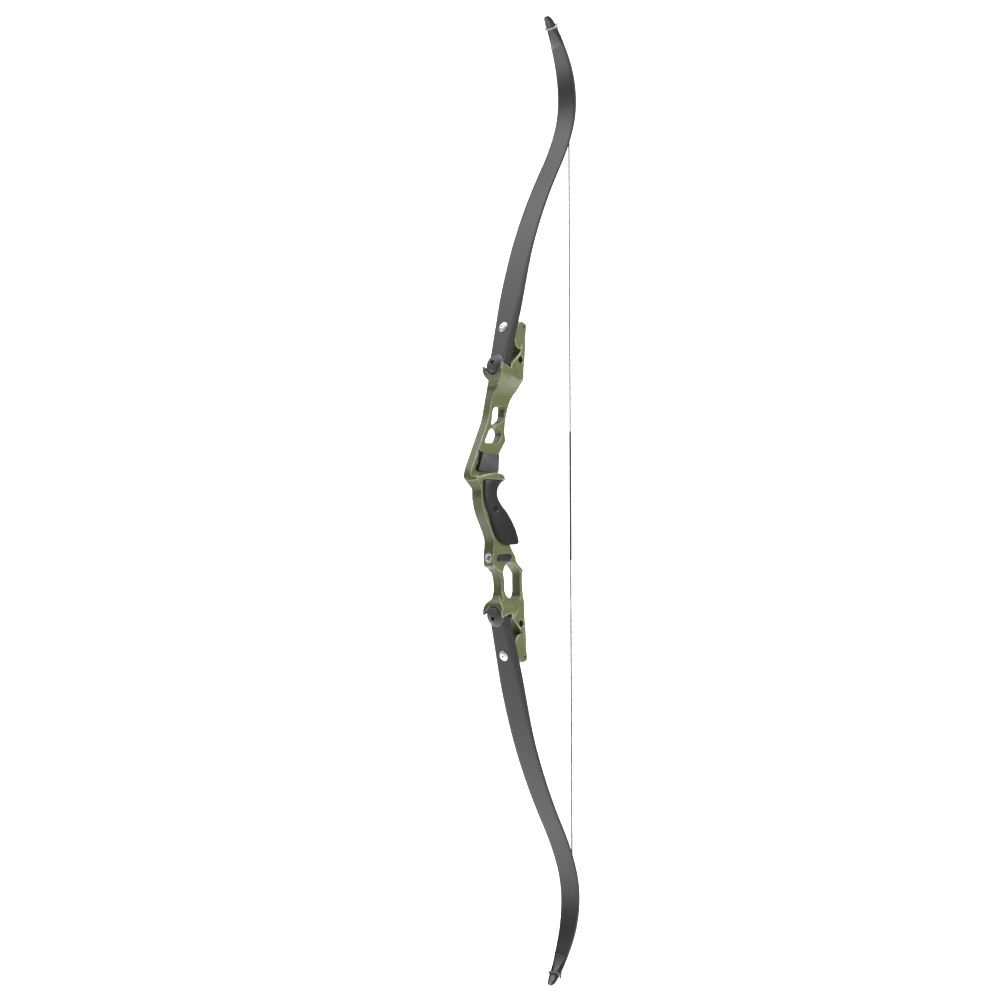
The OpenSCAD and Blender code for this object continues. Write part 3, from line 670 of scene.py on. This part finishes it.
def limb_rings(step):
    shape = border_ring(0.9)
    rings = []
    for s in stations(-FORK_REACH, LIMB_END, step):
        front, back = table_at(s, OVERLAY_DEPTH), table_at(s, LIMB_THICK)
        # The end closes in over its last 5 mm
        close = max(0.0, (s - LIMB_END + 5) / 5)
        back -= (back - front) * 0.35 * close * close
        rings.append(limb_ring(s, back, shape))
    return rings


def overlay_rings(step):
    """Tip overlay: a flat land that narrows towards the nock, with flanks down to the border."""
    rings = []
    for s in stations(OVERLAY_START, LIMB_END, min(step, 3.0)):
        deep = max(0.12, table_at(s, OVERLAY_DEPTH))
        land, rim = table_at(s, OVERLAY_LAND), table_at(s, OVERLAY_RIM)
        profile = [(1.0, deep), (1.0, min(rim, deep * 0.9)),
                   (0.6 + land * 0.4, min(rim, deep) * 0.3), (land, 0.0)]
        profile += [(land * k / 3, 0.0) for k in (2, 1, 0, -1, -2)]
        profile += [(-a, d) for a, d in reversed(profile[:4])]
        profile += [(-k / 3, deep) for k in (2, 1, 0, -1, -2)]
        ring = []
        for across, depth in profile:
            there = s + overlay_slant(s, across)
            y, z = behind(there, depth + 0.04 * (depth == deep))
            half = half_width(there, z)
            ring.append((Vector((across * half, y, z)), Vector((across, depth / deep, s / MM))))
        rings.append(ring)
    return rings


def sweep(points, radius, sides=12):
    """Round cord through points. Its 'strand' attribute holds (turn 0..1, 0, distance in metres)."""
    points = [Vector(p) for p in points]
    rings, up, run = [], None, 0.0
    for i, p in enumerate(points):
        tangent = (points[min(i + 1, len(points) - 1)] - points[max(i - 1, 0)]).normalized()
        if up is None:
            up = tangent.orthogonal()
        up = (up - tangent * up.dot(tangent)).normalized()
        side = tangent.cross(up)
        if i:
            run += (p - points[i - 1]).length
        rings.append([(p + radius * (math.cos(a) * up + math.sin(a) * side),
                       Vector((a / math.tau, 0, run / MM)))
                      for a in (math.tau * k / sides for k in range(sides))])
    return skin_rings(rings, "strand")


def smooth_path(points, spacing):
    """Catmull-Rom curve through points, sampled about every spacing mm."""
    pts = [Vector(p) for p in points]
    pts = [2 * pts[0] - pts[1]] + pts + [2 * pts[-1] - pts[-2]]
    out = []
    for a, b, c, d in zip(pts, pts[1:], pts[2:], pts[3:]):
        count = max(1, round((c - b).length / spacing))
        for k in range(count):
            t = k / count
            out.append(0.5 * (2 * b + (c - a) * t + (2 * a - 5 * b + 4 * c - d) * t * t
                              + (3 * b - a - 3 * c + d) * t ** 3))
    return out + [pts[-2]]


def placed(bm, matrix):
    """Moves a shape drawn in millimetres into the frame."""
    bmesh.ops.transform(bm, matrix=matrix, verts=bm.verts)
    bmesh.ops.recalc_face_normals(bm, faces=bm.faces)
    return bm


def dress(obj, body, slot, *nodes):
    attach(obj, body)
    if nodes:
        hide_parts(*nodes)


# Studio, in metres. Each light has a place, an aim, a size, a power in watts and a spread.

CAMERA_PLACE = Vector((1.9361, -2.2799, -0.0915))
CAMERA_TURN, CAMERA_RISE, CAMERA_ROLL = (math.radians(d) for d in (40, -3.387, 0.125))
CAMERA_LENS = 73.376
ROOM_LIGHT, ROOM_LOOK = 0.08, 0.8
FLOOR_RADIUS = 9
LIGHTS = (
    ("key", (-1.9, -1.3, 2.7), (0, 0.1, 0.3), 2.2, 52, 180),
    ("side", (2.6, 0.8, 1.3), (0, 0.1, 0.1), 1.4, 85, 180),
    ("low", (-1.9, -2.0, -0.5), (0, 0.1, 0.78), 1.6, 4, 40),
    ("top", (0.6, 0.6, 3.2), (0, 0.1, 0.3), 1.2, 40, 180),
    ("ceiling", (0, 0, 7), (0, 0, 0), 7, 380, 180),
)
RISER_TRIANGLES = 190000


# Operators

class BowOperator(bpy.types.Operator):
    bl_options = {"REGISTER"}

    @property
    def shape(self):
        return bpy.context.scene.bow_shape


class BOW_OT_stage(BowOperator):
    """Camera, floor and soft studio lights"""
    bl_idname = "bow.make_stage"
    bl_label = "Studio"

    def execute(self, context):
        scene = context.scene
        scene.view_settings.view_transform = "Standard"
        world = bpy.data.worlds.new("studio")
        world.use_nodes = True
        # The room looks pale and gives only a little light, so the lamps shape the bow
        background = world.node_tree.nodes["Background"]
        background.inputs["Color"].default_value = (1, 1, 1, 1)
        path = world.node_tree.nodes.new("ShaderNodeLightPath")
        level = world.node_tree.nodes.new("ShaderNodeMapRange")
        level.inputs["To Min"].default_value = ROOM_LIGHT
        level.inputs["To Max"].default_value = ROOM_LOOK
        world.node_tree.links.new(path.outputs["Is Camera Ray"], level.inputs["Value"])
        world.node_tree.links.new(level.outputs["Result"], background.inputs["Strength"])
        scene.world = world

        camera = bpy.data.objects.new("camera", bpy.data.cameras.new("camera"))
        camera.data.lens = CAMERA_LENS
        camera.data.sensor_width = 36
        level_back = math.cos(CAMERA_RISE)
        back = Vector((math.sin(CAMERA_TURN) * level_back, -math.cos(CAMERA_TURN) * level_back,
                       math.sin(CAMERA_RISE)))
        right = Vector((math.cos(CAMERA_TURN), math.sin(CAMERA_TURN), 0))
        up = back.cross(right)
        across = math.cos(CAMERA_ROLL) * right - math.sin(CAMERA_ROLL) * up
        above = math.sin(CAMERA_ROLL) * right + math.cos(CAMERA_ROLL) * up
        camera.matrix_world = Matrix(
            [(across[i], above[i], back[i], CAMERA_PLACE[i]) for i in range(3)] + [(0, 0, 0, 1)])
        scene.collection.objects.link(camera)
        scene.camera = camera

        bm = bmesh.new()
        bmesh.ops.create_circle(bm, cap_ends=True, segments=96, radius=FLOOR_RADIUS,
                                matrix=Matrix.Translation((0, 0, CAD_BOX[0].z - 0.004)))
        bmesh.ops.inset_region(bm, faces=bm.faces[:], thickness=4)
        piece("studio_floor", bm, "floor")
        piece("studio_sweep", self.sweep(right, -back), "paper")

        for name, spot, aim, size, power, spread in LIGHTS:
            light = bpy.data.objects.new(name, bpy.data.lights.new(name, "AREA"))
            light.data.size = size
            light.data.spread = math.radians(spread)
            light.data.energy = power
            light.location = spot
            light.rotation_mode = "QUATERNION"
            light.rotation_quaternion = (Vector(aim) - Vector(spot)).to_track_quat("-Z", "Y")
            scene.collection.objects.link(light)
        return {"FINISHED"}

    @staticmethod
    def sweep(right, away):
        """White paper that runs back from the bow and turns up into a wall."""
        across = Vector((right.x, right.y, 0)).normalized()
        back = Vector((away.x, away.y, 0)).normalized()
        low, far, bend, top, half = CAD_BOX[0].z - 0.002, 4.4, 1.0, 3.2, 2.6
        line = [(-0.1, 0)] + [(far - bend + bend * math.sin(t), bend * (1 - math.cos(t)))
                              for t in (math.pi / 2 * k / 12 for k in range(13))] + [(far, top)]
        bm = bmesh.new()
        verts = [bm.verts.new(-half * across + d * back + Vector((0, 0, low + h))) for d, h in line]
        edges = [bm.edges.new(pair) for pair in zip(verts, verts[1:])]
        made = bmesh.ops.extrude_edge_only(bm, edges=edges)["geom"]
        bmesh.ops.translate(bm, vec=2 * half * across,
                            verts=[g for g in made if isinstance(g, bmesh.types.BMVert)])
        bmesh.ops.recalc_face_normals(bm, faces=bm.faces)
        return bm


class BOW_OT_riser(BowOperator):
    """Enamelled riser with rounded edges"""
    bl_idname = "bow.make_riser"
    bl_label = "Riser"

    def execute(self, context):
        obj = rounded_shell("riser_body", "riser", "enamel", self.shape.riser_voxel,
                            self.shape.riser_rounding)
        thin = obj.modifiers.new("thin", "DECIMATE")
        thin.ratio = min(1.0, RISER_TRIANGLES / (2 * len(obj.data.polygons)))
        apply_modifiers(obj)
        obj.data.shade_smooth()
        mark_folds(obj, 0.005)
        dress(obj, "riser_group", "riser_paint", "riser")
        return {"FINISHED"}


class BOW_OT_grip(BowOperator):
    """Moulded grip on the handle"""
    bl_idname = "bow.make_grip"
    bl_label = "Grip"

    def execute(self, context):
        obj = rounded_shell("grip_moulding", "grip", "grip", self.shape.grip_voxel, passes=8)
        obj.data.shade_smooth()
        dress(obj, "riser_group", "grip_plastic", "grip")
        return {"FINISHED"}


class BOW_OT_riser_fittings(BowOperator):
    """Side plate, strip, plaque, bushings and small screws"""
    bl_idname = "bow.make_riser_fittings"
    bl_label = "Riser fittings"

    def execute(self, context):
        outline = rounded([(-10.4, 55, 1.5), (0.5, 52.8, 4), (26.6, 53.4, 1), (25.2, 28.2, 1),
                           (-1, 25.4, 6), (-20.6, 26.6, 3)])
        bm = slab_x(outline, -4, -2.5)
        bevel_sharp(bm, 0.45, 3)
        plate = piece("side_plate_leaf", placed(bm, TO_FRAME), "plate")
        soften_angles(plate)
        dress(plate, "riser_group", "plate_metal", "side_plate")

        outline = rounded([(5.5, -95.2, 1.5), (37, -93.6, 2), (41.4, -98.4, 1), (35.6, -105.4, 2),
                           (6.2, -106.4, 1.5)])
        bm = slab_x(outline, 8.5, 9.3)
        bevel_sharp(bm, 0.2, 2)
        plaque = piece("plaque_face", placed(bm, TO_FRAME), "plaque")
        soften_angles(plaque)
        dress(plaque, "riser_group", "black_gloss", "badge_plaque")

        profile = [(6.75, 19.8), (6.75, 0.35), (6.5, 0.1), (4.75, 0.1), (4.15, 0.7)]
        profile += [(3.99 + 0.3 * (k % 2), 1.0 + 0.53 * k) for k in range(28)]
        profile += [(3.97, 16), (0, 16.4), (0, 19.8), (6.75, 19.8)]
        at = Matrix.Translation(BUSHING_MOUTH) @ Matrix.Rotation(math.radians(-90), 4, "X")
        bushing = piece("stabilizer_thread", placed(lathe(profile, 40, at), TO_FRAME), "bright")
        soften_angles(bushing)
        dress(bushing, "riser_group", "steel", "stabilizer_bushing")

        for node, finish in (("cushion_bushing", "steel"), ("grip_screw", "blackened"),
                             ("plate_strip", "strip")):
            self.refinish(node, finish)
        return {"FINISHED"}

    @staticmethod
    def refinish(node, finish):
        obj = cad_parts[node]
        for slot in obj.material_slots:
            slot.material = finish_named(finish)


class BOW_OT_limbs(BowOperator):
    """Laminated limbs with their tip overlays"""
    bl_idname = "bow.make_limbs"
    bl_label = "Limbs"

    def execute(self, context):
        step = self.shape.limb_step * MM
        slot_radius, screw_hole_radius, cut_low, cut_high = 4.6, 3.05, -30, 10
        for end, matrix in ENDS:
            blade = placed(skin_rings(limb_rings(step), "lie"), matrix)
            limb = piece(f"limb_blade_{end}", blade, "facing")
            # The fork's slot: a round end at the bolt, and a straight part open to the butt
            subtract(limb, prism(32, slot_radius, cut_low, cut_high, matrix @ AT_BOLT))
            bm = bmesh.new()
            bmesh.ops.create_cube(bm, size=1, matrix=matrix @ AT_BOLT @ Matrix.Translation((0, -15, -10))
                                  @ Matrix.Diagonal((2 * slot_radius, 30, 40, 1)))
            bmesh.ops.recalc_face_normals(bm, faces=bm.faces)
            subtract(limb, bm)
            subtract(limb, prism(24, screw_hole_radius, cut_low, cut_high, matrix @ AT_LIMB_SCREW))
            soften_angles(limb, 30)
            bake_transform(limb)
            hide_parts(f"limb_{end}")

            cap = placed(skin_rings(overlay_rings(step), "lie"), matrix)
            overlay = piece(f"tip_cap_{end}", cap, "tip")
            soften_angles(overlay, 25)
            dress(overlay, f"limb_{end}_group", "black_gloss", f"tip_overlay_{end}")
        return {"FINISHED"}


class BOW_OT_limb_fittings(BowOperator):
    """Limb bolts, limb screws, washers, dowels and pocket screws"""
    bl_idname = "bow.make_limb_fittings"
    bl_label = "Limb fittings"

    def execute(self, context):
        # Half outlines from the foot of the shank over the head to the middle of the key socket
        ball, top, spread = 21.25, 8.8, 0.797
        dome = [(ball * math.sin(a), top - ball * (1 - math.cos(a)))
                for a in (spread * k / 18 for k in range(17, 3, -1))]
        bolt = [(0, -30.2), (3.5, -30.2), (3.95, -30.2), (3.95, 1.23), (14.9, 1.23), (15.2, 1.4),
                (15.2, 2.1), (14.95, 2.6), *dome, (3.4, 8.5), (2.95, 8.2), (2.75, 3.7), (0, 3.4)]
        ball, rim, top, spread = 15.2, 7.3, 1.1 + 1.9, 0.5
        cap = [(rim * math.sin(a) / math.sin(spread), top - ball * (1 - math.cos(a)))
               for a in (spread * k / 8 for k in range(8, 2, -1))]
        screw = [(0, -18.9), (3, -18.9), (3, 0.62), (7.1, 0.62), (rim, 0.8), (rim, 1.1), *cap,
                 (2.3, 2.75), (2.1, 2.5), (2.1, 1.4), (0, 1.2)]
        for end, matrix in ENDS:
            head = piece(f"bolt_dome_{end}", placed(lathe(bolt, 64, AT_BOLT), matrix), "bolt")
            soften_angles(head)
            dress(head, f"bolt_{end}_group", "bolt_metal", f"limb_bolt_{end}")
            stud = piece(f"limb_screw_dome_{end}",
                         placed(lathe(screw, 40, AT_LIMB_SCREW), matrix), "bright")
            soften_angles(stud)
            dress(stud, "riser_group", "steel", f"limb_screw_{end}")
            for node, finish in ((f"screw_washer_{end}", "steel"), (f"dowel_{end}", "steel"),
                                 (f"thrust_washer_{end}", "steel"), (f"bolt_insert_{end}", "brass"),
                                 (f"lock_screw_{end}", "steel"), (f"align_screws_{end}", "blackened")):
                BOW_OT_riser_fittings.refinish(node, finish)
        return {"FINISHED"}


class BOW_OT_string(BowOperator):
    """Twisted string with its centre and loop servings"""
    bl_idname = "bow.make_string"
    bl_label = "String"

    def execute(self, context):
        string_y = max(behind(s, table_at(s, LIMB_THICK) + 1.8)[0] for s in range(440, 490))
        for end, matrix in ENDS:
            body = f"string_{end}_group"
            strands = piece(f"strands_{end}", self.strands(string_y, matrix), f"string_{end}")
            dress(strands, body, "string_fibre", f"string_{end}")
            thread = piece(f"center_thread_{end}", self.winding(string_y, matrix), "serving")
            soften_angles(thread, 60)
            dress(thread, body, "serving_fibre", f"center_serving_{end}")
            loops = self.loops(string_y, end, matrix)
            dress(loops, f"limb_{end}_group", "serving_fibre", f"loop_serving_{end}")
        return {"FINISHED"}

    def strands(self, string_y, matrix):
        # Six strands of three points each: a groove, the crest and a flank
        count, flank, groove = 18, 0.94, 0.12
        radius = self.shape.string_radius * MM
        height = SERVING_LIFT - 1
        steps = int(height / 2.5)
        bm = bmesh.new()
        layer = bm.verts.layers.float_vector.new("strand")
        ring = []
        for k in range(count):
            a = math.tau * k / count
            r = radius * (1.0 if k % 3 == 1 else flank) - groove * (k % 3 == 0)
            v = bm.verts.new((r * math.cos(a), r * math.sin(a), 0))
            v[layer] = ((k // 3) % 2, 0, 0)
            ring.append(v)
        edges = [bm.edges.new((v, ring[(i + 1) % count])) for i, v in enumerate(ring)]
        turns = height / (self.shape.string_twist * MM)
        bmesh.ops.spin(bm, geom=ring + edges, cent=(0, 0, 0), axis=(0, 0, 1),
                       dvec=(0, 0, height / steps), angle=math.tau * turns, steps=steps)
        bmesh.ops.holes_fill(bm, edges=[e for e in bm.edges if e.is_boundary], sides=0)
        bmesh.ops.translate(bm, vec=(0, string_y, 0), verts=bm.verts)
        return placed(bm, matrix)

    def winding(self, string_y, matrix):
        radius, pitch, length = self.shape.serving_radius * MM, 0.8, 99.6
        bore, start, groove = 1.32, 0.1, 0.11
        turns = int(length / pitch)
        profile = [(bore, start)]
        for k in range(turns):
            profile += [(radius - groove, start + k * pitch), (radius, start + (k + 0.3) * pitch),
                        (radius, start + (k + 0.7) * pitch)]
        finish = start + turns * pitch
        profile += [(radius - groove, finish), (bore, finish), (bore, start)]
        return placed(lathe(profile, 20, Matrix.Translation((0, string_y, 0))), matrix)

    def loops(self, string_y, end, matrix):
        radius = self.shape.serving_radius * MM
        back = [(0, string_y, SERVING_LIFT)]
        for s in range(470, 556, 6):
            y, z = behind(s, table_at(s, LIMB_THICK) + radius + 0.05)
            back.append((0, y, z))
        split = back[-1]

        def nock(x, depth):
            y, z = behind(NOCK_AT, depth)
            return (x, y, z)

        deep = table_at(NOCK_AT, LIMB_THICK)
        bm = sweep(smooth_path(back, 1.2), radius)
        for side in (-1, 1):
            path = smooth_path([split, nock(side * 6.5, deep + 4), nock(side * 9.4, deep - 0.5),
                                nock(side * 9.4, 1.5), nock(side * 7, -2.1), nock(0, -2.4)], 0.9)
            leg = sweep(path, radius - 0.15)
            mesh = bpy.data.meshes.new("leg")
            leg.to_mesh(mesh)
            leg.free()
            bm.from_mesh(mesh)
            bpy.data.meshes.remove(mesh)
        return piece(f"loop_thread_{end}", placed(bm, matrix), f"loop_{end}")


MAKERS = (BOW_OT_stage, BOW_OT_riser, BOW_OT_grip, BOW_OT_riser_fittings, BOW_OT_limbs,
          BOW_OT_limb_fittings, BOW_OT_string)


class BOW_PT_sidebar(bpy.types.Panel):
    bl_label = "Recurve bow"
    bl_idname = "BOW_PT_sidebar"
    bl_space_type = "VIEW_3D"
    bl_region_type = "UI"
    bl_category = "Bow"

    def draw(self, context):
        for settings in (context.scene.bow_shape, context.scene.bow_colours):
            column = self.layout.column()
            for name in settings.__annotations__:
                column.prop(settings, name)
        for maker in MAKERS:
            self.layout.operator(maker.bl_idname)


CLASSES = (BowShapeSettings, BowColourSettings, *MAKERS, BOW_PT_sidebar)


def register():
    for cls in CLASSES:
        bpy.utils.register_class(cls)
    bpy.types.Scene.bow_shape = PointerProperty(type=BowShapeSettings)
    bpy.types.Scene.bow_colours = PointerProperty(type=BowColourSettings)


def unregister():
    del bpy.types.Scene.bow_colours
    del bpy.types.Scene.bow_shape
    for cls in reversed(CLASSES):
        bpy.utils.unregister_class(cls)


def main():
    register()
    for maker in MAKERS:
        group, name = maker.bl_idname.split(".")
        getattr(getattr(bpy.ops, group), name)()


if __name__ == "__main__":
    main()
